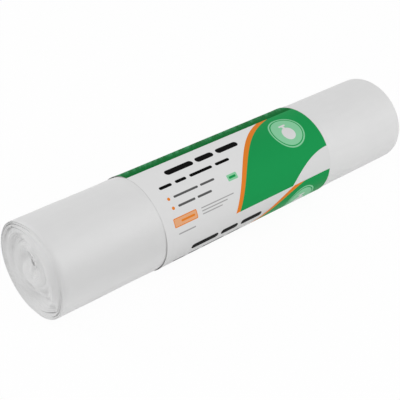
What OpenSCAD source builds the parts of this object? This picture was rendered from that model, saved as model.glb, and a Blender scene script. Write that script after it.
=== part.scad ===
// A roll of gusseted bin liners, wound without a core and held by a printed paper banderole.
// The roll lies along X on its own flat spot, with the origin on the surface it rests on.

/* [Roll] */
// Length of the roll, which is the folded width of one liner
roll_length = 305; // [200:5:600]
// Width of the roll's oval section
roll_width = 66.8; // [50:0.2:90]
// How much lower than wide the oval section is
roll_squash = 4; // [0:0.5:10]
// Depth of the sag that leaves the flat spot
sag_depth = 0.7; // [0.4:0.1:1.5]
// Step where the last liner's free edge ends on the roll
tail_step = 0.15; // [0.1:0.05:0.5]

/* [Wound ends] */
// Bundles of film that show as turns in each end
turns = 10; // [6:1:12]
// Crown of the folded edge along each turn
fold_crown = 0.9; // [0.3:0.1:1.5]
// Depth of the middle of each end below its rim
dish_depth = 2.6; // [1:0.2:5]
// How far the turns wander in and out along the roll
turn_wander = 0.45; // [0:0.05:0.8]
// Share by which turns lie tighter at the rim and the middle than between
turn_tightness = 0.4; // [0:0.05:0.6]
// Where the outer turns of the -X and the +X end hug one another, in degrees round from the back
calm_sides = [130, 300]; // [0:5:360]
// Radius of the shoulder where the outer turns hug one another
calm_shoulder = 5; // [2:0.5:8]
// Radius of the shoulder where the outer turns stand loose
loose_shoulder = 1.2; // [0.5:0.1:3]
// Depth of the gaps that have opened between loose turns
gap_depth = 1.4; // [0:0.1:2.5]
// Rise and fall of the soft swellings and dents in each end
softness = 1.2; // [0:0.1:2]

/* [Collapsed middle] */
// Length of the slit where the hollow middle has closed
slit_length = 6; // [4:0.5:10]
// Width of the slit at its mouth
slit_width = 3; // [1:0.1:4]
// Depth of the slit, where the film closes up
slit_depth = 12; // [6:1:20]
// Tilt of the slit, seen from the +X end
slit_tilt = 35; // [0:5:90]
// Place of the slit, across and up from the middle of the section
slit_offset = [1.5, 4]; // [-6:0.5:6]

/* [Banderole] */
// Width of the paper along the roll
banderole_width = 150; // [60:5:180]
// Place of the banderole along the roll, from its middle
banderole_shift = -0.5; // [-10:0.5:10]
// Thickness of the paper
paper_thickness = 0.15; // [0.1:0.05:0.3]
// Slack between the paper and the roll
banderole_slack = 0.4; // [0.3:0.05:0.6]
// Length of the glued lap, round the roll
lap_length = 14; // [8:1:25]

/* [Hidden] */

// Steps round one turn, and strips across one turn
steps = 60;
strips = 3;
// Fineness of the true curves
$fn = 120;

// Room under the roll for the paper it rests on
underside_room = 0.05;
// The ends are shaped a little past the section, and the section then trims them
trim_margin = 0.03;
// Turns in one wave of the wander, for its slow and its quick part
slow_wave = 3.7;
quick_wave = 1.6;
// Share by which the turns crowd towards the rim along one diagonal, and where that lies in each end
crowding = 0.05;
crowded_sides = [20, 75];
// Opened gaps of the -X and the +X end, each as its place in turns, half its length and its share of the depth
gaps = [
    [[9.07, 0.13, 1.3], [8.12, 0.12, 1], [6.15, 0.17, 0.8], [8.61, 0.1, 0.9], [9.6, 0.08, 0.8]],
    [[9.3, 0.24, 1], [8.8, 0.22, 0.9], [7.35, 0.24, 0.8], [5.8, 0.26, 0.7], [3.3, 0.3, 0.6]]
];
// Soft forms of the -X and the +X end, each as its share of the way out, its angle, half its width as a
// share, half its length in degrees and its share of the softness
forms = [
    [[0.2, 15, 0.13, 42, -1.4], [0.28, 265, 0.14, 60, 1], [0.61, 22, 0.09, 60, -1], [0.78, 225, 0.1, 34, -1.2],
        [0.5, 240, 0.08, 45, -0.8], [0.65, 305, 0.16, 40, 0.6]],
    [[0.55, 140, 0.1, 60, -1], [0.22, 190, 0.12, 50, -0.8], [0.35, 20, 0.14, 55, 0.7], [0.7, 330, 0.1, 45, -0.9]]
];

roll_height = roll_width - roll_squash;
centre_height = roll_height / 2 - sag_depth;
last_step = turns * steps;
end_points_count = (last_step + 1) * strips + steps + 1;

// An oval of four tangent arcs, struck from two centres across and two centres up and down
module oval(width, height) {
    side_radius = (height * height / width + height) / 4;
    across = width / 2 - side_radius;
    rest = height / 2 - side_radius;
    up = rest > 0 ? (across * across - rest * rest) / (2 * rest) : 0;
    reach = width / max(across + up, 0.001);
    for (side = [-1, 1]) {
        translate([side * across, 0]) circle(r = side_radius);
        intersection() {
            translate([0, -side * up]) circle(r = height / 2 + up);
            translate([0, -side * up])
                polygon([[0, 0], [across, side * up] * reach, [-across, side * up] * reach]);
        }
    }
}

// An oval standing on a flat at floor_drop below its middle
module flat_oval(width, height, floor_drop) {
    intersection() {
        oval(width, height);
        translate([-width, -floor_drop]) square([2 * width, floor_drop + height]);
    }
}

// Extrudes a section drawn in Y and Z along X
module along_roll(length, shift = 0) {
    translate([shift, 0, centre_height])
        rotate([90, 0, 90]) linear_extrude(height = length, center = true) children();
}

// The roll's section is a spiral of two centres, so that the last half turn ends in a step at the back
module roll_section() {
    half = roll_width;
    intersection() {
        flat_oval(roll_width, roll_height, centre_height);
        translate([-half, 0]) square([2 * half, roll_height]);
    }
    intersection() {
        translate([tail_step / 2, 0])
            flat_oval(roll_width + tail_step, roll_height + tail_step, centre_height);
        translate([-half, -roll_height]) square([2 * half, roll_height]);
    }
}

// Outline of the roll's section at an angle, as [across, up]
function rim(angle) = [
    (roll_width + tail_step) / 2 * cos(angle),
    max((roll_height + tail_step) / 2 * sin(angle), -centre_height)
];

// Mouth of the slit at an angle, as [across, up]
function slit(angle) = let(
    along = slit_length / 2 * cos(angle - slit_tilt),
    wide = slit_width / 2 * sin(angle - slit_tilt)
) slit_offset + [
    along * cos(slit_tilt) - wide * sin(slit_tilt),
    along * sin(slit_tilt) + wide * cos(slit_tilt)
];

// Place in the section for a share of the way from the slit to just past the rim
function in_section(share, angle) =
    slit(angle) * (1 - share) + rim(angle) * share * (1 + trim_margin);

// Share of the way out at a turn's inner side, with the turns tighter at both ends of the way
function spread(x) = x - turn_tightness * sin(360 * x) / (2 * PI);
function inner_side(turn) = turn <= 1 ? 0 : spread((turn - 1) / (turns - 1));
function outer_side(turn) = turn >= turns - 1 ? 1 : spread(turn / (turns - 1));

function ease(value, low, high) = let(share = min(1, max(0, (value - low) / (high - low))))
    share * share * (3 - 2 * share);
function round_by(angle) = angle - 360 * round(angle / 360);
function of_end(pair, end) = pair[end < 0 ? 0 : 1];
function total(values) = values * [for (value = values) 1];

// 1 where the outer turns of an end hug one another, and 0 where they stand loose
function calm(angle, end) = 1 - ease(abs(round_by(angle - of_end(calm_sides, end))), 36, 80);
function loose(share, angle, end) = 1 - 0.85 * calm(angle, end) * ease(share, 0.3, 0.65);

// Share of the way out, with the turns pushed out and drawn in twice round the section
function crowd(share, angle, end) = share
    + crowding * cos(2 * (angle - of_end(crowded_sides, end))) * (1 - pow(share, 8)) * ease(share, 0.1, 0.6);

// How far an end stands past its rim line at a share of the way out
function dish(share) = -dish_depth * pow(1 - pow(share, 3), 2);
function soft(share, angle, end) = softness * total([for (form = of_end(forms, end))
    form[4] * exp(-pow((share - form[0]) / form[2], 2) - pow(round_by(angle - form[1]) / form[3], 2))]);
function wander(turn, end) =
    turn_wander * (sin(360 * turn / slow_wave + 90 * end) + sin(360 * turn / quick_wave - 40 * end)) / 2;
function opened(turn, end) = gap_depth * total([for (gap = of_end(gaps, end))
    gap[2] * exp(-pow((turn - gap[0]) / gap[1], 4))]);

// Fall of the rounded shoulder near the rim
function fall(share, angle, end) = let(
    radius = loose_shoulder + (calm_shoulder - loose_shoulder) * calm(angle, end),
    from_rim = (1 - share * (1 + trim_margin)) * roll_width / 2,
    across = min(radius, max(0, radius - from_rim))
) radius - sqrt(radius * radius - across * across);

// One point of a wound end. end is -1 or 1, step counts along the spiral, strip across the turn.
function end_point(end, step, strip) = let(
    turn = step / steps,
    angle = 360 * turn,
    inner = inner_side(turn),
    outer = outer_side(turn),
    share = crowd(inner + (outer - inner) * strip / strips, angle, end),
    free = min(1, (outer - inner) * turns) * loose(share, angle, end),
    groove = (fold_crown + (strip == 0 ? opened(turn, end) : 0)) * (1 - sin(180 * strip / strips)),
    height = dish(share) + soft(share, angle, end) - fall(share, angle, end),
    place = in_section(share, angle)
) [end * (roll_length / 2 + height + free * (wander(turn, end) - groove)), place[0], place[1]];

function rim_point(end, step) = let(
    angle = 360 * step / steps,
    place = in_section(1, angle)
) [end * (roll_length / 2 - fall(1, angle, end) - fold_crown * loose(1, angle, end)), place[0], place[1]];

function end_points(end) = concat(
    [for (step = [0:last_step], strip = [0:strips - 1]) end_point(end, step, strip)],
    [for (step = [0:steps - 1]) rim_point(end, step)],
    [[end * (roll_length / 2 - slit_depth), slit_offset[0], slit_offset[1]]]
);

// Number of a point in the list. Neighbouring turns share the points between them.
function rim_index(step) = (last_step + 1) * strips + step % steps;
function point_index(step, strip) =
    strip == strips ? (step + steps < last_step ? point_index(step + steps, 0) : rim_index(step)) :
    step == 0 || (step == steps && strip == 0) ? 0 :
    step == last_step ? rim_index(0) :
    step * strips + strip;

function distinct(a, b, c) = a != b && b != c && c != a;
function turned(face, over) = over ? [face[2], face[1], face[0]] : face;

function end_faces(first, over) = let(
    faces = concat(
        [for (step = [0:last_step - 1], strip = [0:strips - 1]) let(
            a = point_index(step, strip),
            b = point_index(step, strip + 1),
            c = point_index(step + 1, strip + 1),
            d = point_index(step + 1, strip)
        ) each [if (distinct(a, b, c)) [a, b, c], if (distinct(a, c, d)) [a, c, d]]],
        [for (step = [0:steps - 1])
            [point_index(step, 0), point_index((step + 1) % steps, 0), end_points_count - 1]]
    )
) [for (face = faces) turned([for (i = face) i + first], over)];

function wall_faces() = [for (step = [0:steps - 1]) let(
    a = rim_index(step),
    b = rim_index(step + 1),
    c = b + end_points_count,
    d = a + end_points_count
) each [[a, c, b], [a, d, c]]];

// Both wound ends as one closed body, a little wider than the roll's section
module wound_ends() {
    translate([0, 0, centre_height])
        polyhedron(
            points = concat(end_points(-1), end_points(1)),
            faces = concat(end_faces(0, false), end_faces(end_points_count, true), wall_faces()),
            convexity = 10
        );
}

module liner_roll() {
    color("whitesmoke") intersection() {
        wound_ends();
        difference() {
            along_roll(roll_length + 20) roll_section();
            translate([banderole_shift - banderole_width / 2 - 1, -roll_width, -1])
                cube([banderole_width + 2, 2 * roll_width, 1 + paper_thickness + underside_room]);
        }
    }
}

// The paper is one strip round the roll, with its end glued over its start at the back
module banderole() {
    inside = [roll_width, roll_height] + 2 * banderole_slack * [1, 1];
    outside = inside + 2 * paper_thickness * [1, 1];
    lapped = outside + 2 * paper_thickness * [1, 1];
    color("palegreen") along_roll(banderole_width, banderole_shift) difference() {
        union() {
            flat_oval(outside[0], outside[1], centre_height);
            intersection() {
                flat_oval(lapped[0], lapped[1], centre_height);
                translate([0, -lap_length]) square([roll_width, lap_length]);
            }
        }
        flat_oval(inside[0], inside[1], centre_height - paper_thickness);
    }
}

liner_roll();
banderole();
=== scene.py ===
"""A roll of bin liners on its side, held by a printed paper banderole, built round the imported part."""
import math

import bmesh
import bpy
import numpy as np
from mathutils import Matrix, Vector


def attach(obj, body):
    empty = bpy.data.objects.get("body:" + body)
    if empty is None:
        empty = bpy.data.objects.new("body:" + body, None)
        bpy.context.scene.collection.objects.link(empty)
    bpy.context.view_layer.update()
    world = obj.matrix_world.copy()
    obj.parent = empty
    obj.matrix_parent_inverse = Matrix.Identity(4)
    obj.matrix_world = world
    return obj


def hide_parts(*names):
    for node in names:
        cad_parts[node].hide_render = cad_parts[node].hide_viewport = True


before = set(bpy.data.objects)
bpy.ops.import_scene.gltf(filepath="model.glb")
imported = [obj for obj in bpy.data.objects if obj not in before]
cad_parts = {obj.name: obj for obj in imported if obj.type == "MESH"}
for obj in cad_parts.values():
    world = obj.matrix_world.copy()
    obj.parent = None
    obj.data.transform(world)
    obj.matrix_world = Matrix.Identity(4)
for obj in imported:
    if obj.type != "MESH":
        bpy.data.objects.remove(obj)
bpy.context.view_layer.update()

MM = 0.001
FULL_TURN = 2.0 * math.pi

# Sizes of the part, in millimetres, as in its source
ROLL_LENGTH = 305.0
ROLL_WIDTH = 66.8
ROLL_HEIGHT = 62.8
CENTRE_HEIGHT = 30.7
TAIL_STEP = 0.15
SLIT_DEPTH = 12.0
SLIT_TILT = math.radians(35.0)
BAND_WIDTH = 150.0
BAND_SHIFT = -0.5
PAPER = 0.15
SLACK = 0.4
LAP = 14.0

# Mouth of the slit, slimmer and a little higher than in the source: length, width, and its middle across
# and up
SLIT_LENGTH = 6.2
SLIT_WIDTH = 2.3
SLIT_OFFSET = (1.6, 4.6)

# Mean radius of the section, for lengths round it, and the rounding of the flat spot's edges
MEAN_RADIUS = 33.0
SPOT_ROUND = 0.3

# Fineness of the roll's mesh: steps round it, turns in each end, and where the strips across a turn start
STEPS = 192
TURNS = 30
STRIP_SIDES = np.array([0.0, 0.09, 0.28, 0.52, 0.76, 0.92])
STRIP_EDGES = np.append(STRIP_SIDES, 1.0)


# Camera at the photograph's viewing angle

def make_camera():
    """A level camera, from its place and the directions to its right, down and forward, in metres."""
    right = (0.74614, -0.66580, 0.0)
    down = (-0.34511, -0.38672, -0.85520)
    forward = (0.56937, 0.63810, -0.51830)
    place = (-0.38753, -0.41395, 0.36185)
    data = bpy.data.cameras.new("camera")
    data.sensor_width = 36.0
    data.lens = 86.57
    data.clip_start = 0.01
    camera = bpy.data.objects.new("camera", data)
    bpy.context.scene.collection.objects.link(camera)
    rows = [[right[i], -down[i], -forward[i], place[i]] for i in range(3)]
    camera.matrix_world = Matrix(rows + [[0.0, 0.0, 0.0, 1.0]])
    bpy.context.scene.camera = camera


make_camera()


# Mesh helpers

# Distance at which points are merged and length at which an edge is dropped, both in metres, and the angle
# from which an edge stays sharp
MERGE_DISTANCE = 2e-6
LEAST_EDGE = 1e-7
SHARP_ANGLE = math.radians(40.0)


def grid_faces(rows, columns, start=0):
    """Quads of a grid of rows x columns points, numbered row by row from start."""
    first = np.arange(rows - 1)[:, None] * columns + np.arange(columns - 1)[None, :] + start
    return np.stack([first, first + 1, first + columns + 1, first + columns], axis=-1).reshape(-1, 4)


def make_piece(name, sheets, materials, node):
    """Joins sheets into one closed mesh in metres, with the given materials, on the root body in place of the
    node it replaces.

    Each sheet is a grid of points in millimetres, its uv, its material's number and whether it is turned
    over.
    """
    points, faces, uvs, slots = [], [], [], []
    start = 0
    for grid, uv, number, over in sheets:
        rows, columns = grid.shape[:2]
        quads = grid_faces(rows, columns, start)
        if over:
            quads = quads[:, ::-1]
        points.append(grid.reshape(-1, 3) * MM)
        uvs.append(uv.reshape(-1, 2))
        faces.append(quads)
        slots.append(np.full(len(quads), number))
        start += rows * columns
    points = np.concatenate(points)
    faces = np.concatenate(faces)
    uvs = np.concatenate(uvs)
    mesh = bpy.data.meshes.new(name)
    mesh.from_pydata(points.tolist(), [], faces.tolist())
    layer = mesh.uv_layers.new(name="print")
    layer.data.foreach_set("uv", uvs[faces.ravel()].ravel())
    mesh.polygons.foreach_set("material_index", np.concatenate(slots).astype(np.int32))
    for material in materials:
        mesh.materials.append(material)
    shell = bmesh.new()
    shell.from_mesh(mesh)
    bmesh.ops.remove_doubles(shell, verts=shell.verts, dist=MERGE_DISTANCE)
    bmesh.ops.dissolve_degenerate(shell, edges=shell.edges, dist=LEAST_EDGE)
    bmesh.ops.recalc_face_normals(shell, faces=shell.faces)
    open_edges = sum(1 for edge in shell.edges if len(edge.link_faces) != 2)
    print(name, "faces", len(shell.faces), "open edges", open_edges)
    shell.to_mesh(mesh)
    shell.free()
    mesh.polygons.foreach_set("use_smooth", np.ones(len(mesh.polygons), dtype=bool))
    mesh.set_sharp_from_angle(angle=SHARP_ANGLE)
    piece = bpy.data.objects.new(name, mesh)
    bpy.context.scene.collection.objects.link(piece)
    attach(piece, "root")
    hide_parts(node)
    return piece


def smooth(value, low, high):
    """0 below low and 1 above high, with a cubic ease between."""
    share = np.clip((value - low) / (high - low), 0.0, 1.0)
    return share * share * (3.0 - 2.0 * share)


def turned(angle, degrees):
    """Angle past a direction given in degrees, wrapped to lie within half a turn either way."""
    return np.mod(angle - math.radians(degrees) + math.pi, FULL_TURN) - math.pi


def wave(value, seed, lengths):
    """Sum of sines of value with the given wavelengths, with phases drawn from seed, within -1 to 1."""
    phases = np.random.default_rng(seed).uniform(0.0, FULL_TURN, len(lengths))
    total = sum(np.sin(FULL_TURN * value / length + phase) for length, phase in zip(lengths, phases))
    return total / len(lengths)


# The roll of liners

def band_share(x):
    """1 under the banderole and 0 beside it, along the roll."""
    away = np.abs(x - BAND_SHIFT) - BAND_WIDTH / 2.0
    return 1.0 - smooth(away, 0.2, 2.2)


def outline(angle, grow, floor_lift=0.0):
    """Across and up on the roll's oval: an ellipse that is grown by grow, softly clamped to its flat spot."""
    across = (ROLL_WIDTH / 2.0 + grow) * np.cos(angle)
    up = (ROLL_HEIGHT / 2.0 + grow) * np.sin(angle)
    floor = -CENTRE_HEIGHT + floor_lift
    up = (up + floor + np.sqrt((up - floor) ** 2 + SPOT_ROUND ** 2)) / 2.0
    return across, up


def slit_mouth(angle, long_share=1.0, wide_share=1.0):
    """Across and up on the slit's oval mouth, tilted in the section and a little uneven."""
    uneven = 1.0 + 0.12 * np.sin(3.0 * angle + 0.6) + 0.10 * np.sin(7.0 * angle + 2.0)
    along = SLIT_LENGTH / 2.0 * np.cos(angle - SLIT_TILT) * long_share * uneven
    wide = SLIT_WIDTH / 2.0 * np.sin(angle - SLIT_TILT) * wide_share * uneven
    across = SLIT_OFFSET[0] + along * math.cos(SLIT_TILT) - wide * math.sin(SLIT_TILT)
    up = SLIT_OFFSET[1] + along * math.sin(SLIT_TILT) + wide * math.cos(SLIT_TILT)
    return across, up


# How much tighter the turns are wound at the rim and the middle, from 0 for evenly wound to 1
TIGHTNESS = 0.32


def spread(x):
    """Share of the way out at a share of the turns: the share less a sine of it, so that both ends crowd."""
    return x - TIGHTNESS * np.sin(FULL_TURN * x) / FULL_TURN


def inner_side(turn):
    """Share of the way out at a turn's inner side. Under one turn it is the slit."""
    return spread(np.clip((turn - 1.0) / (TURNS - 1.0), 0.0, 1.0))


def outer_side(turn):
    """Share of the way out at a turn's outer side. In the last turn it is the rim."""
    return spread(np.clip(turn / (TURNS - 1.0), 0.0, 1.0))


# Rises from the slit's mouth out to the rim, for each end: start, end and rise
DISH_STEPS = {
    -1: [(0.0, 0.10, 0.6), (0.10, 0.30, 0.5), (0.30, 0.48, -0.5), (0.50, 0.62, 0.8), (0.62, 0.74, 1.0),
         (0.84, 0.93, 0.4)],
    1: [(0.0, 0.12, 1.6), (0.08, 0.30, 0.8), (0.36, 0.55, -0.5), (0.60, 0.72, 0.9), (0.78, 0.93, 0.8)],
}


def dish(share, end, closed):
    """Height of an end from its rim line: sunk in steps towards the slit, or evenly where closed is 1."""
    steps = DISH_STEPS[end]
    stepped = sum(rise * (smooth(share, low, high) - 1.0) for low, high, rise in steps)
    even = -sum(rise for low, high, rise in steps) * (1.0 - share) ** 1.2
    return stepped + (even - stepped) * closed


# Soft dents and swellings of each end: share of the way out, degrees round the section from the back,
# half width as a share, half length in degrees, drift of the share per radian, and rise
SOFT_FORMS = {
    -1: [
        (0.63, 22.0, 0.055, 52.0, -0.05, -1.7), (0.465, 47.0, 0.04, 21.0, 0.00, -1.4),
        (0.22, 2.0, 0.10, 46.0, 0.00, -1.8), (0.36, 336.0, 0.10, 26.0, -0.35, -1.5),
        (0.34, 240.0, 0.24, 55.0, 0.00, 1.3), (0.27, 266.0, 0.12, 60.0, 0.00, 1.2),
        (0.56, 304.0, 0.15, 36.0, 0.00, 1.4), (0.40, 198.0, 0.08, 30.0, 0.00, -1.0),
        (0.79, 278.0, 0.05, 22.0, 0.00, -1.3), (0.94, 103.0, 0.035, 26.0, 0.00, -1.0),
        (0.56, 104.0, 0.055, 24.0, 0.00, 1.0), (0.39, 68.0, 0.06, 20.0, 0.00, -1.3),
        (0.60, 196.0, 0.16, 40.0, 0.00, 1.5), (0.13, 66.0, 0.04, 12.0, 0.00, -2.2),
        (0.05, 37.0, 0.06, 11.0, 0.00, -0.9), (0.13, 190.0, 0.05, 10.0, 0.00, -0.9),
        (0.13, 150.0, 0.035, 14.0, 0.00, 1.1), (0.21, 136.0, 0.035, 10.0, 0.00, 1.0),
    ],
    1: [
        (0.55, 140.0, 0.08, 60.0, 0.12, -1.2), (0.22, 190.0, 0.12, 50.0, 0.00, -1.0),
        (0.35, 20.0, 0.14, 55.0, 0.00, 0.8), (0.70, 330.0, 0.08, 45.0, -0.10, -1.1),
        (0.80, 80.0, 0.05, 40.0, 0.00, -0.6), (0.66, 250.0, 0.12, 40.0, 0.00, 0.5),
    ],
}


def soft_forms(share, angle, end):
    """Dents and swellings as bells in the share of the way out and in the angle, each along a drifting arc.

    Each bell is the exponential of minus the squares of how far a point is off its middle, in half widths
    and in half lengths. Its side towards the front of the roll is wider, so that a dent falls steeply at
    the back and rises gently.
    """
    total = np.zeros(np.broadcast(share, angle).shape)
    for middle, degrees, half, length, drift, rise in SOFT_FORMS[end]:
        round_by = turned(angle, degrees)
        off = (share - middle - drift * round_by) / half
        off = off / (1.0 + 0.8 * smooth(-np.sign(off) * np.cos(angle), -0.3, 0.3))
        total = total + rise * np.exp(-off ** 2 - (round_by / math.radians(length)) ** 2)
    return total


# Shallow hollows with a terrace on the inside and a rise on the outside, for each end: shares of the way out
# where the fall starts and is full and where the rise starts and is full, degrees, half length and depth
LEDGES = {
    -1: [
        (0.44, 0.53, 0.57, 0.86, 250.0, 44.0, 3.2), (0.59, 0.69, 0.73, 0.94, 254.0, 32.0, 3.0),
        (0.73, 0.85, 0.88, 0.96, 231.0, 14.0, 3.8), (0.72, 0.82, 0.85, 0.97, 24.0, 30.0, 0.9),
        (0.42, 0.48, 0.50, 0.62, 279.0, 14.0, 1.7), (0.63, 0.68, 0.71, 0.84, 270.0, 11.0, 0.8),
    ],
    1: [(0.40, 0.52, 0.60, 0.95, 200.0, 45.0, 1.2)],
}


def ledges(share, angle, end):
    """The hollows with a terrace: a smooth fall times a smooth rise, each fading out round the section."""
    total = np.zeros(np.broadcast(share, angle).shape)
    for fall, fallen, rise, risen, degrees, length, depth in LEDGES[end]:
        round_by = turned(angle, degrees)
        across = smooth(share, fall, fallen) * (1.0 - smooth(share, rise, risen))
        total = total - depth * across * np.exp(-(round_by / math.radians(length)) ** 2)
    return total


# Where the outer turns of each end hug one another and round off into the side: middle and half, in degrees,
# and how far to either side of that half's end they go over to standing loose
CALM_SIDES = {-1: (132.0, 58.0), 1: (300.0, 60.0)}
CALM_EDGE = 22.0

# Radius of the round between an end and the side where it stands loose, and what the calm side adds
LOOSE_SHOULDER = 1.1
CALM_SHOULDER = 3.9


def calm(angle, end):
    """1 where the outer turns of an end lie closed and well rounded, and 0 where they stand loose."""
    middle, half = CALM_SIDES[end]
    off = np.abs(turned(angle, middle))
    return 1.0 - smooth(off, math.radians(half - CALM_EDGE), math.radians(half + CALM_EDGE))


def shoulder(angle, end):
    """Radius of the quarter round between an end and the side."""
    return LOOSE_SHOULDER + CALM_SHOULDER * calm(angle, end)


# The quarter round is split half way, where it has gone this share of its radius down and in
HALF_ROUND = 1.0 - math.sqrt(0.5)


def shoulder_fall(away, radius):
    """Fall of a quarter round at a distance in from where it would end, by the circle's equation."""
    across = np.clip(radius - away, 0.0, radius)
    return radius - np.sqrt(radius ** 2 - across ** 2)


# How far the turns wander in and out along the roll, and how far they jitter from one to the next
WANDER = 0.24
JITTER = 0.13


def telescope(turn, share, angle, end):
    """How far the turns stand in or out along the roll, as broad waves and a jitter from turn to turn.

    Both are calmer where the turns have settled.
    """
    broad = wave(turn, 11 + end, [5.3, 8.1, 3.4])
    fine = wave(turn, 31 + end, [1.31, 0.83, 1.87, 0.57])
    return (WANDER * broad + JITTER * fine) * (1.0 - 0.75 * settled_side(share, angle))


# Where the turns have settled, low on the front: middle and half, as a share of the way out and in degrees
SETTLED_SHARE = (0.5, 0.3)
SETTLED_ANGLE = (240.0, 52.0)


def settled_side(share, angle):
    """1 where the turns form a soft and almost even face, and 0 elsewhere, as a flat-topped hump."""
    out = (share - SETTLED_SHARE[0]) / SETTLED_SHARE[1]
    round_by = turned(angle, SETTLED_ANGLE[0]) / math.radians(SETTLED_ANGLE[1])
    return np.exp(-out ** 4 - round_by ** 4)


# Gaps that have opened between turns, for each end: turn at the gap's middle, half its length in turns, depth
OPEN_GAPS = {
    -1: [(29.02, 0.27, 1.1), (27.10, 0.14, 2.4), (24.09, 0.06, 0.6), (23.17, 0.10, 0.9), (18.15, 0.17, 0.5),
         (25.61, 0.09, 1.3), (27.57, 0.08, 1.3)],
    1: [(28.30, 0.24, 1.4), (26.80, 0.22, 1.2), (22.35, 0.24, 1.1), (15.8, 0.26, 0.9), (9.3, 0.3, 0.8)],
}


def gap_depth(turn, end):
    """Extra depth of the groove at a turn's inner side, as smooth humps along the spiral."""
    humps = (depth * np.exp(-((turn - middle) / half) ** 4) for middle, half, depth in OPEN_GAPS[end])
    return sum(humps)


# The turns crowd towards the rim along one diagonal of the section, and stand back from it across that
CROWDED = {-1: math.radians(20.0), 1: math.radians(75.0)}
CROWDING = 0.055


def crowd(share, angle, end):
    """Share of the way out, with the turns pushed out and drawn in twice round the section."""
    push = CROWDING * np.cos(2.0 * (angle - CROWDED[end]))
    return share + push * (1.0 - share ** 8) * smooth(share, 0.1, 0.6)


# Depth of the gathers round the middle, and the share of the way out over which they fade
GATHER_DEPTH = 0.36
GATHER_REACH = 0.13


def pinch(share, angle, end):
    """Gathers of the film round the closed middle: two sets of slanted ripples that run out and fade."""
    gathers = np.sin(9.0 * angle + 26.0 * share + end) + 0.7 * np.sin(14.0 * angle - 31.0 * share)
    uneven = 0.5 + 0.5 * np.sin(angle - math.radians(15.0))
    fading = smooth(share, 0.004, 0.03) * np.exp(-(share / GATHER_REACH) ** 2)
    return GATHER_DEPTH * uneven * gathers * fading


# Ripples at the back: their depth, and their middle and half width as shares of the way out
CHATTER_DEPTH = 0.26
CHATTER_SHARE = (0.905, 0.05)


def chatter(share, angle, end):
    """Short uneven ripples across the outer turns at the back, where they stand loose."""
    out = (share - CHATTER_SHARE[0]) / CHATTER_SHARE[1]
    round_by = turned(angle, -8.0 * end) / math.radians(48.0)
    patch = np.exp(-out ** 2 - round_by ** 4)
    ripples = np.sin(52.0 * angle + 9.0 * np.sin(5.0 * angle))
    return CHATTER_DEPTH * patch * ripples * wave(angle * MEAN_RADIUS, 141, [17.0, 31.0])


def tail_growth(angle):
    """The last half turn grows out by the step that its free edge leaves."""
    return TAIL_STEP * np.clip((angle - math.pi) / math.pi, 0.0, 1.0)


# Depth of the groove between turns, and how far it varies along the spiral
GROOVE_DEPTH = 0.26
GROOVE_CHANGE = 0.14


def wound_end(end):
    """One end as a spiral grid. Points go along the spiral, and strips across each turn.

    At a share of the way out, a point lies between the slit and the rim. Along the roll it stands at the
    dish, plus the soft forms, the hollows, the gathers, the ripples and the turn's own offset, less the fall
    of a rounded fold towards the grooves beside it and less the shoulder's fall near the rim. Where a gap
    has opened, the groove is deeper and its sides are straighter.
    """
    turn = np.arange(TURNS * STEPS + 1) / STEPS
    inner = inner_side(turn)
    outer = outer_side(turn)
    side = STRIP_SIDES[None, :]
    angle = (FULL_TURN * turn)[:, None]
    share = crowd(inner[:, None] + (outer - inner)[:, None] * side, angle, end)
    closed = calm(angle, end)
    settled = smooth(share, 0.0, 0.06)
    loose = 1.0 - 0.9 * closed * smooth(share, 0.3, 0.62)
    beside = turn[:, None] + (side > 0.5)
    gap = gap_depth(beside, end)
    groove = (GROOVE_DEPTH + GROOVE_CHANGE * wave(beside, 51 + end, [1.7, 2.3, 0.9])) * loose
    groove = groove * (1.0 - 0.6 * settled_side(share, angle))
    groove = (groove + gap) * np.abs(2.0 * side - 1.0) ** (2.4 - 1.0 * np.clip(gap, 0.0, 1.0))
    forms = soft_forms(share, angle, end) + ledges(share, angle, end) + pinch(share, angle, end)
    forms = forms + chatter(share, angle, end)
    radius = shoulder(angle, end)
    fall = shoulder_fall(HALF_ROUND * radius + (1.0 - share) * ROLL_WIDTH / 2.0, radius)
    offset = loose * telescope(turn[:, None], share, angle, end)
    height = dish(share, end, closed) + forms - fall + settled * (offset - groove)
    slit_across, slit_up = slit_mouth(angle)
    rim_across, rim_up = outline(angle, -HALF_ROUND * radius)
    across = slit_across * (1.0 - share) + rim_across * share
    up = slit_up * (1.0 - share) + rim_up * share
    points = np.stack([end * (ROLL_LENGTH / 2.0 + height), across, up + CENTRE_HEIGHT], axis=-1)

    # The outer side of each turn is the inner side of the next, and of the last turn it is the rim
    count = len(turn)
    closing = np.empty((count, 1, 3))
    closing[: count - STEPS, 0] = points[STEPS:, 0]
    rim_angle = FULL_TURN * np.arange(STEPS + 1) / STEPS
    rim_across, rim_up = outline(rim_angle, tail_growth(rim_angle) - HALF_ROUND * shoulder(rim_angle, end))
    rim_x = end * (ROLL_LENGTH / 2.0 - HALF_ROUND * shoulder(rim_angle, end))
    closing[count - STEPS - 1:, 0] = np.stack([rim_x, rim_across, rim_up + CENTRE_HEIGHT], axis=-1)
    last = closing[count - STEPS - 1, 0]
    points[-1] = last + (closing[-1, 0] - last) * STRIP_SIDES[:, None]
    points = np.concatenate([points, closing], axis=1)

    uv = np.empty(points.shape[:2] + (2,))
    uv[..., 0] = (turn[:, None] + STRIP_EDGES[None, :]) / (TURNS + 1.0)
    uv[..., 1] = (turn / TURNS)[:, None]
    return points, uv


# Rows of the mesh from the slit's mouth down to its point
SLIT_ROWS = 14


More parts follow.
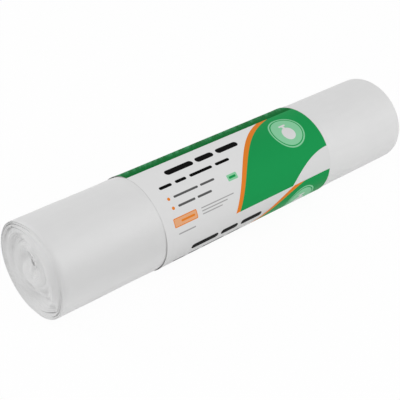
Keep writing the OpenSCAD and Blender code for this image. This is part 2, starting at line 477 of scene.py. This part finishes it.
def slit_walls(end, mouth):
    """The closed-up middle: the mouth's ring goes in with a few creases, and narrows to a point."""
    depth = np.linspace(0.0, 1.0, SLIT_ROWS)[:, None]
    angle = (FULL_TURN * np.arange(STEPS + 1) / STEPS)[None, :]
    crease = 1.0 + 0.5 * np.sin(5.0 * angle + 4.0 * depth) * depth * (1.0 - depth)
    across, up = slit_mouth(angle, (1.0 - depth) ** 0.35 * crease, (1.0 - depth) ** 0.8 * crease)
    x = mouth[None, :, 0] - end * SLIT_DEPTH * depth ** 0.9
    walls = np.stack([x, across, up + CENTRE_HEIGHT], axis=-1)
    walls[0] = mouth
    walls[-1] = walls[-1].mean(axis=0)
    uv = np.zeros(walls.shape[:2] + (2,))
    uv[..., 1] = depth
    return walls, uv


# The side's rows beside each rim: how many, and how far they reach along the roll
ROUND_ROWS = 8
ROUND_LENGTH = 7.0


def body_places(angle):
    """Places along the roll for each angle, closer together at the rims and beside the banderole.

    The outer rows run from the middle of the shoulder's round, which differs with the angle, to a
    straight line round the roll.
    """
    reach = ROLL_LENGTH / 2.0
    near = BAND_SHIFT - BAND_WIDTH / 2.0
    far = BAND_SHIFT + BAND_WIDTH / 2.0
    # Each stretch is its first place, its last place and its number of rows
    stretches = [
        (9.0 - reach, near - 4.0, 28), (near - 3.0, near + 1.0, 9), (near + 4.0, far - 4.0, 12),
        (far - 1.0, far + 3.0, 9), (far + 4.0, reach - 9.0, 28),
    ]
    middle = np.concatenate([np.linspace(first, last, count) for first, last, count in stretches])[:, None]
    share = np.linspace(0.0, 1.0, ROUND_ROWS)[:, None] ** 1.4
    rounds = {}
    for end in (-1, 1):
        start = HALF_ROUND * shoulder(angle, end)
        rounds[end] = end * (reach - start - share * (ROUND_LENGTH - start))
    middle = np.broadcast_to(middle, (len(middle), angle.shape[1]))
    return np.concatenate([rounds[-1], middle, rounds[1][::-1]])


def rim_inset(x, angle):
    """How far the quarter rounds of both shoulders pull the side in."""
    from_end = ROLL_LENGTH / 2.0 - np.abs(x)
    radius = np.where(x < 0.0, shoulder(angle, -1), shoulder(angle, 1))
    return shoulder_fall(from_end, radius)


def snug_paper(angle):
    """1 where the paper's edges lie close on the film, on the upper front side, and 0 elsewhere."""
    return 1.0 - smooth(np.abs(angle - math.radians(120.0)), math.radians(34.0), math.radians(60.0))


# Heights of the side film's forms: bands round the roll, creases along it, the swell beside the paper, the
# film at the paper's edge, and what that gains where the paper lies snug
BAND_HEIGHT = 0.07
CREASE_HEIGHT = 0.05
SWELL_HEIGHT = 0.14
EDGE_HEIGHT = 0.14
SNUG_HEIGHT = 0.22


def body_growth(x, angle):
    """How far the roll's side stands off its oval: soft bands round it, long creases and forms by the paper.

    Beside the paper the film swells a little, and right at the paper's edge it comes out to meet it.
    """
    free = smooth(ROLL_LENGTH / 2.0 - np.abs(x), 1.5, 14.0) * (1.0 - band_share(x))
    bands = BAND_HEIGHT * wave(x, 71, [61.0, 37.0, 23.0])
    drift = 2.1 * wave(x, 75, [190.0, 83.0])
    lengths = [FULL_TURN * MEAN_RADIUS / count for count in (3.0, 5.0, 11.0)]
    creases = CREASE_HEIGHT * wave(angle * MEAN_RADIUS + drift, 73, lengths)
    from_edge = np.abs(x - BAND_SHIFT) - BAND_WIDTH / 2.0
    swell = SWELL_HEIGHT * np.exp(-((from_edge - 5.0) / 4.0) ** 2)
    pressed = (EDGE_HEIGHT + SNUG_HEIGHT * snug_paper(angle)) * np.exp(-(from_edge / 2.5) ** 2)
    pressed = pressed * smooth(np.sin(angle), -0.55, -0.15)
    return free * (bands + creases + swell) + pressed


# Lift of the film's free edge and its wander in radians, and the flat spot's lift where paper lies below
EDGE_LIFT = 0.24
EDGE_WANDER = 0.011
FLAT_LIFT = 0.22


def roll_side():
    """The outer film as a grid along and round the roll, and the fine step of its free edge at the back."""
    angle = (FULL_TURN * np.arange(STEPS + 1) / STEPS)[None, :]
    x = body_places(angle)
    away_from_rim = smooth(ROLL_LENGTH / 2.0 - np.abs(x), 1.5, 12.0)
    to_edge = np.exp(-((FULL_TURN - angle) * MEAN_RADIUS / 5.0) ** 2)
    lift = EDGE_LIFT * (1.0 - band_share(x)) * away_from_rim * (0.6 + 0.4 * wave(x, 91, [40.0, 67.0]))
    grow = tail_growth(angle) + lift * to_edge
    grow = grow + body_growth(x, angle) - rim_inset(x, angle)
    near_edge = np.exp(-(np.minimum(angle, FULL_TURN - angle) / 0.25) ** 2)
    wander = EDGE_WANDER * wave(x, 93, [120.0, 71.0]) * away_from_rim
    across, up = outline(angle + wander * near_edge, grow, FLAT_LIFT * band_share(x))
    points = np.stack([x, across, up + CENTRE_HEIGHT], axis=-1)
    uv = np.empty(points.shape[:2] + (2,))
    uv[..., 0] = x / ROLL_LENGTH + 0.5
    uv[..., 1] = angle / FULL_TURN
    first = points[:, 0, None]
    final = points[:, -1, None]
    step = first + (final - first) * STRIP_EDGES[None, :, None]
    step_uv = np.zeros(step.shape[:2] + (2,))
    step_uv[..., 0] = uv[:, :1, 0]
    return points, uv, step, step_uv


# Materials

def new_material(name):
    """A node material with no nodes."""
    material = bpy.data.materials.new(name)
    material.use_nodes = True
    material.node_tree.nodes.clear()
    return material


def add(tree, kind, values=None, **settings):
    """Adds a node to a tree. Values are socket values or outputs to link from, by socket name or number."""
    node = tree.nodes.new(kind)
    for key, value in settings.items():
        setattr(node, key, value)
    for key, value in (values or {}).items():
        socket = node.inputs[key]
        if isinstance(value, bpy.types.NodeSocket):
            tree.links.new(value, socket)
        else:
            socket.default_value = value
    return node


def math_node(tree, operation, first, second=0.0, third=0.0):
    """Output of a Math node, for one, two or three numbers."""
    return add(tree, "ShaderNodeMath", {0: first, 1: second, 2: third}, operation=operation).outputs[0]


def mix_colour(tree, share, first, second):
    """The colour that goes from the first to the second as the share goes from 0 to 1."""
    node = tree.nodes.new("ShaderNodeMix")
    node.data_type = "RGBA"
    for socket, value in ((node.inputs[0], share), (node.inputs[6], first), (node.inputs[7], second)):
        if isinstance(value, bpy.types.NodeSocket):
            tree.links.new(value, socket)
        else:
            socket.default_value = value
    return node.outputs[2]


def noise(tree, vector, scale, detail):
    """Height of a soft noise over a vector."""
    return add(tree, "ShaderNodeTexNoise", {"Vector": vector, "Scale": scale, "Detail": detail}).outputs[0]


def ramp_down(tree, value, full, none):
    """1 where a value is at full and 0 where it is at none, with a smooth ramp between."""
    ends = {0: value, 1: full, 2: none, 3: 1.0, 4: 0.0}
    return add(tree, "ShaderNodeMapRange", ends, interpolation_type="SMOOTHSTEP").outputs[0]


def add_group(tree, group, values):
    """Places a shader group in a tree, with values on its inputs, and gives its outputs."""
    return add(tree, "ShaderNodeGroup", values, node_tree=group).outputs


def new_group(name, inputs, outputs):
    """An empty shader group: its tree, its inputs' sockets and its outputs' sockets by name.

    Inputs are numbers, apart from Place, which is a vector. Outputs are numbers.
    """
    group = bpy.data.node_groups.new(name, "ShaderNodeTree")
    for label in inputs:
        kind = "NodeSocketVector" if label == "Place" else "NodeSocketFloat"
        group.interface.new_socket(label, in_out="INPUT", socket_type=kind)
    for label in outputs:
        group.interface.new_socket(label, in_out="OUTPUT", socket_type="NodeSocketFloat")
    source = group.nodes.new("NodeGroupInput")
    sink = group.nodes.new("NodeGroupOutput")
    return group, source.outputs, sink.inputs


# The film's greys: its darker and paler clouds, the pale folds in the ends, and painted shade on the front
CLOUD_GREY = (0.67, 0.67, 0.67, 1.0)
CLOUD_PALE = (0.73, 0.73, 0.73, 1.0)
FOLD_PALE = (0.76, 0.76, 0.76, 1.0)
PAINTED_SHADE_GREY = (0.60, 0.60, 0.60, 1.0)

# Scales of the film's patterns: clouds, streaks along the roll, plies across each turn, and crinkles with
# their depth in metres
CLOUD_SCALE = 45.0
STREAK_SCALE = (60.0, 260.0, 260.0)
PLY_SCALE = (420.0, 260.0, 1.0)
CRINKLE_SCALE = 620.0
CRINKLE_DEPTH = 0.0010

# The painted shade's height above the surface in metres, and its strength
PAINTED_SHADE_HEIGHT = 0.037
PAINTED_SHADE_STRENGTH = 0.7

# The film's roughness and the depth of its fine relief in metres, on the side and on the ends
SIDE_FINISH = (0.42, 0.00006)
END_FINISH = (0.5, 0.00012)


def film_group():
    """Cloudiness of milky film, and its fine streaks along the roll."""
    group, given, sink = new_group("film_grain", ["Place"], ["Tone", "Streaks"])
    stretch = add(group, "ShaderNodeMapping", {"Vector": given["Place"], "Scale": STREAK_SCALE}).outputs[0]
    clouds = noise(group, given["Place"], CLOUD_SCALE, 4.0)
    streaks = noise(group, stretch, 1.0, 3.0)
    tone = math_node(group, "MULTIPLY_ADD", clouds, 0.5, math_node(group, "MULTIPLY", streaks, 0.5))
    group.links.new(tone, sink["Tone"])
    group.links.new(streaks, sink["Streaks"])
    return group


def paper_group():
    """Fibres of paper as a fine noise of the given scale and detail."""
    group, given, sink = new_group("paper_fibres", ["Place", "Scale", "Detail"], ["Fibres"])
    fibres = noise(group, given["Place"], given["Scale"], given["Detail"])
    group.links.new(fibres, sink["Fibres"])
    return group


def painted_shade_band(tree, place):
    """Strength of a painted shade in a band across the front, strongest at the near end."""
    split = add(tree, "ShaderNodeSeparateXYZ", {0: place}).outputs
    off = math_node(tree, "ABSOLUTE", math_node(tree, "SUBTRACT", split["Z"], PAINTED_SHADE_HEIGHT))
    ramps = [(off, 0.003, 0.019), (split["Y"], -0.028, -0.010), (split["X"], -0.11, 0.10)]
    strength = PAINTED_SHADE_STRENGTH
    for value, full, none in ramps:
        strength = math_node(tree, "MULTIPLY", ramp_down(tree, value, full, none), strength)
    return strength


def crinkles(tree, place, winding):
    """Height of fine short crinkles in the outer turns' edges, low at the back."""
    split = add(tree, "ShaderNodeSeparateXYZ", {0: place}).outputs
    turns = add(tree, "ShaderNodeSeparateXYZ", {0: winding}).outputs
    fine = noise(tree, place, CRINKLE_SCALE, 1.0)
    low = ramp_down(tree, split["Z"], 0.020, 0.040)
    back = ramp_down(tree, split["Y"], 0.024, 0.012)
    outer = ramp_down(tree, turns["X"], 0.84, 0.70)
    where = math_node(tree, "MULTIPLY", math_node(tree, "MULTIPLY", low, back), outer)
    return math_node(tree, "MULTIPLY", math_node(tree, "SUBTRACT", fine, 0.5), where)


def film_material(name, on_ends, grain):
    """Milky polythene film: faint streaks, clouds, a band of painted shade, satin gloss and a little light
    let through.

    On the ends the plies of each turn take the streaks' place in the relief, with crinkles low at the back.
    """
    material = new_material(name)
    tree = material.node_tree
    place = add(tree, "ShaderNodeTexCoord").outputs["Object"]
    grained = add_group(tree, grain, {"Place": place})
    colour = mix_colour(tree, grained["Tone"], CLOUD_GREY, CLOUD_PALE)
    height = grained["Streaks"]
    rough, depth = SIDE_FINISH
    if on_ends:
        winding = add(tree, "ShaderNodeUVMap", uv_map="print").outputs[0]
        plies = add(tree, "ShaderNodeMapping", {"Vector": winding, "Scale": PLY_SCALE}).outputs[0]
        height = noise(tree, plies, 1.0, 2.0)
        colour = mix_colour(tree, height, colour, FOLD_PALE)
        rough, depth = END_FINISH
    # Painted shade: the film is darkened in a band across the front by the near end, on the side and the ends
    # alike
    colour = mix_colour(tree, painted_shade_band(tree, place), colour, PAINTED_SHADE_GREY)
    bump = add(tree, "ShaderNodeBump", {"Height": height, "Strength": 0.35, "Distance": depth}).outputs[0]
    if on_ends:
        folds = {"Height": crinkles(tree, place, winding), "Distance": CRINKLE_DEPTH, "Normal": bump}
        bump = add(tree, "ShaderNodeBump", folds).outputs[0]
    shader = add(tree, "ShaderNodeBsdfPrincipled", {"Base Color": colour, "Normal": bump})
    shader.inputs["Roughness"].default_value = rough
    shader.inputs["IOR"].default_value = 1.5
    shader.inputs["Subsurface Weight"].default_value = 0.15
    shader.inputs["Subsurface Radius"].default_value = (1.0, 1.0, 1.0)
    shader.inputs["Subsurface Scale"].default_value = 0.004
    add(tree, "ShaderNodeOutputMaterial", {"Surface": shader.outputs[0]})
    return material


def build_roll():
    """The roll as one closed mesh: two wound ends, two slits, the side and the step of the free edge."""
    grain = film_group()
    side_film = film_material("liner_film_side", False, grain)
    end_film = film_material("liner_film_ends", True, grain)
    sheets = []
    for end in (-1, 1):
        points, uv = wound_end(end)
        sheets.append((points, uv, 1, False))
        mouth = points[: STEPS + 1, 0]
        walls, wall_uv = slit_walls(end, mouth)
        sheets.append((walls, wall_uv, 1, False))
    points, uv, step, step_uv = roll_side()
    sheets.append((points, uv, 0, False))
    sheets.append((step, step_uv, 0, False))
    return make_piece("liners_wound", sheets, [side_film, end_film], "liner_roll")


# The banderole

# The lap as an angle at the back, where the section's radius is half its width, and steps round the strip
LAP_ANGLE = LAP / (ROLL_WIDTH / 2.0)
BAND_STEPS = 420


def band_path():
    """Angle, growth and arc place along the paper strip, which starts under its own lap at the back.

    The strip starts a lap's length below the back of the roll, runs once round by way of the top, the
    front and the underside, and ends at the back on top of its own start. The arc place is the length
    along the outline from the top line, and is positive on the front.
    """
    angle = np.linspace(-LAP_ANGLE, FULL_TURN, BAND_STEPS + 1)
    over = smooth(angle, FULL_TURN - LAP_ANGLE - 0.11, FULL_TURN - LAP_ANGLE - 0.01)
    across, up = outline(angle, SLACK + PAPER)
    steps = np.hypot(np.diff(across), np.diff(up))
    arc = np.concatenate([[0.0], np.cumsum(steps)])
    arc = arc - np.interp(math.pi / 2.0, angle, arc)
    return angle, SLACK + over * (PAPER + 0.01), arc


# Lift of the paper's near and far edge over the top, and the height of its waves
NEAR_LIFT = 0.26
FAR_LIFT = 0.10
PAPER_WAVE = 0.035


def band_flare(x, angle):
    """How far the paper stands off: its edges lift a little over the top, and it is softly wavy."""
    edge = BAND_WIDTH / 2.0
    from_near = x - (BAND_SHIFT - edge)
    from_far = (BAND_SHIFT + edge) - x
    loose = smooth(np.sin(angle), -0.9, -0.6) * (1.0 - snug_paper(angle))
    lift = NEAR_LIFT * np.exp(-(from_near / 3.0) ** 2) + FAR_LIFT * np.exp(-(from_far / 3.0) ** 2)
    drift = MEAN_RADIUS * angle + 0.8 * x
    ripples = PAPER_WAVE * wave(drift, 103, [19.0, 29.0, 11.0]) * wave(x, 105, [47.0, 31.0])
    ripples = ripples * smooth(np.minimum(from_near, from_far), 0.5, 8.0)
    return lift * loose + ripples * smooth(np.sin(angle), -0.9, -0.5)


# Width over which ink fades out at an outline, in millimetres
INK_EDGE = 0.12


def inked(tree, distance):
    """1 inside an outline and 0 outside, from the distance past the outline in millimetres."""
    share = math_node(tree, "DIVIDE", distance, INK_EDGE)
    node = add(tree, "ShaderNodeMath", {0: 0.5, 1: share}, operation="SUBTRACT", use_clamp=True)
    return node.outputs[0]


def bar_group():
    """A filled bar with rounded corners, by the distance to a rounded rectangle."""
    names = ["Along", "Round", "Middle Along", "Middle Round", "Half Along", "Half Round", "Corner"]
    group, given, sink = new_group("printed_bar", names, ["Mask"])
    parts = []
    for way in ("Along", "Round"):
        off = math_node(group, "SUBTRACT", given[way], given["Middle " + way])
        off = math_node(group, "ABSOLUTE", off)
        reach = math_node(group, "SUBTRACT", given["Half " + way], given["Corner"])
        parts.append(math_node(group, "SUBTRACT", off, reach))
    outside = [math_node(group, "MAXIMUM", part, 0.0) for part in parts]
    squares = [math_node(group, "MULTIPLY", part, part) for part in outside]
    corner = math_node(group, "SQRT", math_node(group, "ADD", squares[0], squares[1]))
    inside = math_node(group, "MINIMUM", math_node(group, "MAXIMUM", parts[0], parts[1]), 0.0)
    distance = math_node(group, "SUBTRACT", math_node(group, "ADD", corner, inside), given["Corner"])
    group.links.new(inked(group, distance), sink["Mask"])
    return group


def disc_group():
    """A filled disc, by the distance from its middle less its radius."""
    names = ["Along", "Round", "Middle Along", "Middle Round", "Radius"]
    group, given, sink = new_group("printed_disc", names, ["Mask"])
    squares = []
    for way in ("Along", "Round"):
        off = math_node(group, "SUBTRACT", given[way], given["Middle " + way])
        squares.append(math_node(group, "MULTIPLY", off, off))
    reach = math_node(group, "SQRT", math_node(group, "ADD", squares[0], squares[1]))
    group.links.new(inked(group, math_node(group, "SUBTRACT", reach, given["Radius"])), sink["Mask"])
    return group


# Paper and inks. Painted light whitens the paper over the top; the field there has its own two greens
PAPER_WHITE = (0.68, 0.68, 0.68, 1.0)
PAINTED_LIGHT_WHITE = (0.75, 0.75, 0.75, 1.0)
GREEN = (0.012, 0.292, 0.078, 1.0)
PALE_GREEN = (0.24, 0.58, 0.34, 1.0)
ORANGE = (0.73, 0.21, 0.025, 1.0)
PALE_ORANGE = (0.74, 0.38, 0.20, 1.0)
# The field's green ink, painted darker than the panels' green as painted shade, and its lighter painted
# highlight green
SHADED_FIELD_GREEN = (0.001, 0.138, 0.026, 1.0)
HIGHLIGHT_FIELD_GREEN = (0.038, 0.270, 0.105, 1.0)
BLACK = (0.003, 0.003, 0.003, 1.0)
DARK_GREY = (0.10, 0.10, 0.10, 1.0)
GREY = (0.34, 0.34, 0.34, 1.0)
BACK_GREY = (0.62, 0.62, 0.61, 1.0)
BACK_PALE = (0.72, 0.72, 0.71, 1.0)

# Where the first panel starts, as an arc place, and the length of a panel round the strip, in millimetres
FIRST_PANEL = -4.8
PITCH = 57.3

# Where the painted light ends, and where the painted highlights come up and die away, past the first panel's
# start
PAINTED_LIGHT_TO = (10.0, 48.0)
HIGHLIGHTS_FROM = (-11.0, -2.0)
HIGHLIGHTS_TO = (-16.0, -28.0)

# The field's painted highlight streaks: their slant, and how close they lie across and along, per millimetre
HIGHLIGHT_SLANT = 1.5
HIGHLIGHTS_ACROSS = 0.17
HIGHLIGHTS_ALONG = 0.05

# Bare edge of the paper at its far side
MARGIN = 0.6

# Roughness of the print, what the field and the fibres add to it, and the specular level of the paper
PRINT_ROUGH = 0.33
FIELD_ROUGH = 0.2
FIBRE_ROUGH = 0.06
PRINT_GLOSS = 0.015

# Discs of one panel, from the lowest ink up: ink, middle along, middle round and radius, in millimetres.
# The first three leave a green arc with an orange edge, the next three are a badge, and the last is the
# round body of a tied bag
PANEL_DISCS = [
    (ORANGE, 150.0, 90.0, 97.0), (GREEN, 150.0, 90.0, 93.6), (PAPER_WHITE, 150.0, 90.0, 50.0),
    (PALE_GREEN, 125.0, 19.0, 13.5), (GREEN, 125.0, 19.0, 12.4), (PALE_GREEN, 125.0, 19.0, 11.6),
    (PAPER_WHITE, 125.0, 21.0, 5.2),
]

# Bars of one panel: ink, middle along, middle round, half along, half round and corner, in millimetres.
# The first two are the tied bag's neck and its two ears
PANEL_BARS = [
    (PAPER_WHITE, 125.0, 15.2, 1.0, 2.2, 0.5), (PAPER_WHITE, 125.0, 13.4, 3.0, 0.7, 0.6),
    (BLACK, 33.5, 11.2, 11.5, 2.3, 2.3), (BLACK, 55.0, 11.2, 7.5, 2.3, 2.3),
    (BLACK, 75.0, 11.2, 9.5, 2.3, 2.3),
    (BLACK, 15.0, 20.4, 5.0, 1.1, 1.1), (BLACK, 27.5, 20.4, 4.5, 1.1, 1.1),
    (BLACK, 44.5, 20.4, 9.5, 1.1, 1.1), (BLACK, 63.0, 20.4, 6.0, 1.1, 1.1),
    (DARK_GREY, 25.5, 29.0, 10.0, 0.75, 0.75), (DARK_GREY, 43.5, 29.0, 6.0, 0.75, 0.75),
    (DARK_GREY, 22.5, 35.3, 7.0, 0.75, 0.75), (DARK_GREY, 37.5, 35.3, 6.0, 0.75, 0.75),
    (ORANGE, 17.5, 44.5, 9.5, 3.0, 0.8), (PALE_ORANGE, 17.5, 44.5, 8.9, 2.4, 0.5),
    (ORANGE, 19.5, 44.5, 5.6, 0.7, 0.7),
    (GREY, 45.0, 42.6, 14.0, 0.35, 0.3), (GREY, 42.0, 44.6, 11.0, 0.35, 0.3),
    (GREY, 39.5, 46.6, 8.5, 0.35, 0.3),
    (PALE_GREEN, 63.0, 32.5, 4.2, 2.2, 0.7), (GREEN, 63.0, 32.5, 2.8, 0.8, 0.4),
    (GREY, 17.0, 52.2, 7.0, 0.45, 0.45),
]
# Dots of one panel, printed over its bars, as the discs are given
PANEL_DOTS = [(ORANGE, 11.5, 29.0, 1.1), (ORANGE, 11.5, 35.3, 1.1)]


def print_material(fibre_group, arc):
    """Printed paper: a green field, painted darker as shade, with painted highlight streaks over the top and
    down the back, and panels.

    A panel is one pitch round the strip, and the panels repeat by the remainder of the arc place. Each has
    discs for a green arc with an orange edge and for a badge, and bars and dots in lines. A mask is 1 where
    the distance past a disc's or a bar's outline is below nought.
    """
    material = new_material("banderole_print")
    tree = material.node_tree
    sheet = add(tree, "ShaderNodeUVMap", uv_map="print").outputs[0]
    split = add(tree, "ShaderNodeSeparateXYZ", {0: sheet})
    along = math_node(tree, "MULTIPLY", split.outputs[0], BAND_WIDTH)
    whole = math_node(tree, "MULTIPLY_ADD", split.outputs[1], float(arc[-1] - arc[0]), float(arc[0]))
    from_first = math_node(tree, "SUBTRACT", whole, FIRST_PANEL)
    down = math_node(tree, "MODULO", from_first, PITCH)
    bar = bar_group()
    disc = disc_group()
    disc_names = ("Middle Along", "Middle Round", "Radius")
    bar_names = ("Middle Along", "Middle Round", "Half Along", "Half Round", "Corner")

    # Painted light: the paper is whiter over the top, fading to its own white along the strip
    colour = mix_colour(tree, ramp_down(tree, from_first, *PAINTED_LIGHT_TO), PAPER_WHITE, PAINTED_LIGHT_WHITE)
    layers = [(PANEL_DISCS, disc, disc_names), (PANEL_BARS, bar, bar_names), (PANEL_DOTS, disc, disc_names)]
    for shapes, group, names in layers:
        for ink, *sizes in shapes:
            values = {"Along": along, "Round": down, **dict(zip(names, sizes))}
            colour = mix_colour(tree, add_group(tree, group, values)["Mask"], colour, ink)

    # Painted highlights: slanted light streaks on the field near the top, over its painted-shade green
    slanted = math_node(tree, "MULTIPLY_ADD", along, HIGHLIGHT_SLANT, whole)
    across_streaks = math_node(tree, "MULTIPLY", slanted, HIGHLIGHTS_ACROSS)
    along_streaks = math_node(tree, "MULTIPLY", along, HIGHLIGHTS_ALONG)
    slant = add(tree, "ShaderNodeCombineXYZ", {0: along_streaks, 1: across_streaks}).outputs[0]
    highlight_noise = noise(tree, slant, 1.0, 1.0)
    come_up = ramp_down(tree, from_first, *HIGHLIGHTS_FROM)
    die_away = ramp_down(tree, from_first, *HIGHLIGHTS_TO)
    top = math_node(tree, "MULTIPLY", come_up, die_away)
    streaks = math_node(tree, "MULTIPLY", ramp_down(tree, highlight_noise, 0.66, 0.36), top)
    field = mix_colour(tree, streaks, SHADED_FIELD_GREEN, HIGHLIGHT_FIELD_GREEN)
    in_field = inked(tree, from_first)
    colour = mix_colour(tree, in_field, colour, field)
    margin = math_node(tree, "SUBTRACT", BAND_WIDTH - MARGIN, along)
    colour = mix_colour(tree, inked(tree, margin), colour, PAPER_WHITE)

    place = add(tree, "ShaderNodeTexCoord").outputs["Object"]
    fibres = add_group(tree, fibre_group, {"Place": place, "Scale": 900.0, "Detail": 3.0})["Fibres"]
    cockle = noise(tree, place, 60.0, 2.0)
    height = math_node(tree, "MULTIPLY_ADD", fibres, 0.15, cockle)
    bump = add(tree, "ShaderNodeBump", {"Height": height, "Strength": 0.3, "Distance": 0.0002}).outputs[0]
    rough = math_node(tree, "MULTIPLY_ADD", in_field, FIELD_ROUGH, PRINT_ROUGH)
    rough = math_node(tree, "MULTIPLY_ADD", fibres, FIBRE_ROUGH, rough)
    shader = add(tree, "ShaderNodeBsdfPrincipled", {"Base Color": colour, "Roughness": rough, "Normal": bump})
    shader.inputs["IOR"].default_value = 1.5
    shader.inputs["Specular IOR Level"].default_value = PRINT_GLOSS
    add(tree, "ShaderNodeOutputMaterial", {"Surface": shader.outputs[0]})
    return material


def paper_back_material(fibre_group):
    """The unprinted side and the cut edges of the paper, with a faint grain."""
    material = new_material("banderole_back")
    tree = material.node_tree
    place = add(tree, "ShaderNodeTexCoord").outputs["Object"]
    fibres = add_group(tree, fibre_group, {"Place": place, "Scale": 700.0, "Detail": 4.0})["Fibres"]
    colour = mix_colour(tree, fibres, BACK_GREY, BACK_PALE)
    bump = add(tree, "ShaderNodeBump", {"Height": fibres, "Strength": 0.3, "Distance": 0.0001}).outputs[0]
    shader = add(tree, "ShaderNodeBsdfPrincipled", {"Base Color": colour, "Normal": bump})
    shader.inputs["Roughness"].default_value = 0.7
    add(tree, "ShaderNodeOutputMaterial", {"Surface": shader.outputs[0]})
    return material


# Columns of the paper's mesh: how far the fine ones reach in from each edge, where the plain ones start, and
# how many there are of each
FINE_REACH = 5.0
FINE_COUNT = 11
PLAIN_START = 7.0
PLAIN_COUNT = 64


def build_banderole():
    """The paper strip as a closed ribbon: an outer and an inner side, and a thin wall along each edge.

    Both sides are the roll's outline grown by the slack and the strip's own place in the lap, and the outer
    side by the paper's thickness too. On the flat spot both lie flat, with the outer side on the surface.
    """
    angle, grow, arc = band_path()
    edge = BAND_WIDTH / 2.0
    near = np.linspace(-edge, -edge + FINE_REACH, FINE_COUNT)
    inside = np.linspace(-edge + PLAIN_START, edge - PLAIN_START, PLAIN_COUNT)
    far = np.linspace(edge - FINE_REACH, edge, FINE_COUNT)
    off = np.concatenate([near, inside, far])
    x = (BAND_SHIFT + off)[None, :]
    turn = angle[:, None]
    stand = grow[:, None] + band_flare(x, turn)
    sides = []
    for depth in (PAPER, 0.0):
        across, up = outline(turn, stand + depth)
        up = np.maximum(up, -CENTRE_HEIGHT + PAPER - depth)
        along = np.broadcast_to(x, across.shape)
        sides.append(np.stack([along, across, up + CENTRE_HEIGHT], axis=-1))
    outer, inner = sides
    uv = np.empty(outer.shape[:2] + (2,))
    uv[..., 0] = (off / BAND_WIDTH + 0.5)[None, :]
    uv[..., 1] = ((arc - arc[0]) / (arc[-1] - arc[0]))[:, None]
    sheets = [(outer, uv, 0, False), (inner, uv, 1, True)]
    for pick in (0, -1):
        rim = np.stack([outer[:, pick], inner[:, pick]], axis=1)
        sheets.append((rim, uv[:, [pick, pick]], 1, False))
        cut = np.stack([outer[pick], inner[pick]], axis=0)
        sheets.append((cut, uv[[pick, pick]], 1, False))
    fibre_group = paper_group()
    faces = [print_material(fibre_group, arc), paper_back_material(fibre_group)]
    return make_piece("banderole_paper", sheets, faces, "banderole")


build_roll()
build_banderole()


# Floor, background and lamps

# Half the floor's side in metres, its own colour, and how far it is turned to white where it is seen
FLOOR_HALF = 6.0
FLOOR_GREY = (0.90, 0.90, 0.90, 1.0)
FLOOR_WHITE = 0.96

# Colour of the dome and of the background, and the dome's strength as a light
PURE_WHITE = (1.0, 1.0, 1.0, 1.0)
DOME_LIGHT = 0.675


def plain_background(tree, share):
    """The given share for rays that see the background straight, mirrored or through glass, or else 0."""
    path = add(tree, "ShaderNodeLightPath")
    seen = math_node(tree, "MAXIMUM", path.outputs["Is Camera Ray"], path.outputs["Is Glossy Ray"])
    seen = math_node(tree, "MAXIMUM", seen, path.outputs["Is Transmission Ray"])
    return math_node(tree, "MULTIPLY", seen, share)


def build_floor():
    """A wide pale floor that keeps the shadow, turned towards white where it is seen."""
    floor = bpy.data.meshes.new("floor")
    signs = [(-1.0, -1.0), (1.0, -1.0), (1.0, 1.0), (-1.0, 1.0)]
    corners = [(along * FLOOR_HALF, across * FLOOR_HALF, 0.0) for along, across in signs]
    floor.from_pydata(corners, [], [(0, 1, 2, 3)])
    material = new_material("floor_white")
    tree = material.node_tree
    matte = add(tree, "ShaderNodeBsdfDiffuse", {"Color": FLOOR_GREY}).outputs[0]
    white = add(tree, "ShaderNodeEmission", {"Color": PURE_WHITE, "Strength": 1.0}).outputs[0]
    share = plain_background(tree, FLOOR_WHITE)
    mixed = add(tree, "ShaderNodeMixShader", {0: share, 1: matte, 2: white}).outputs[0]
    add(tree, "ShaderNodeOutputMaterial", {"Surface": mixed})
    floor.materials.append(material)
    piece = bpy.data.objects.new("floor", floor)
    bpy.context.scene.collection.objects.link(piece)


def build_world():
    """White all round where it is seen, and a plain grey dome as light."""
    world = bpy.data.worlds.new("studio")
    bpy.context.scene.world = world
    world.use_nodes = True
    tree = world.node_tree
    tree.nodes.clear()
    light = add(tree, "ShaderNodeBackground", {"Color": PURE_WHITE, "Strength": DOME_LIGHT}).outputs[0]
    white = add(tree, "ShaderNodeBackground", {"Color": PURE_WHITE, "Strength": 1.0}).outputs[0]
    share = plain_background(tree, 1.0)
    mixed = add(tree, "ShaderNodeMixShader", {0: share, 1: light, 2: white}).outputs[0]
    add(tree, "ShaderNodeOutputWorld", {"Surface": mixed})


def add_lamp(name, place, aim, size, watts):
    """A square soft lamp at a place, turned to its aim."""
    data = bpy.data.lights.new(name, "AREA")
    data.shape = "SQUARE"
    data.size = size
    data.energy = watts
    lamp = bpy.data.objects.new(name, data)
    bpy.context.scene.collection.objects.link(lamp)
    direction = Vector(place) - Vector(aim)
    lamp.matrix_world = Matrix.Translation(place) @ direction.to_track_quat("Z", "Y").to_matrix().to_4x4()


build_floor()
build_world()
add_lamp("key_lamp", (-0.12, -0.95, 0.8), (0.0, 0.0, 0.03), 1.0, 3.7)
add_lamp("far_lamp", (0.45, -0.85, 0.60), (0.15, 0.0, 0.03), 0.6, 1.15)
add_lamp("end_lamp", (-0.6, 0.85, 0.40), (-0.15, 0.0, 0.03), 0.4, 2.7)

bpy.context.scene.view_settings.view_transform = "Standard"
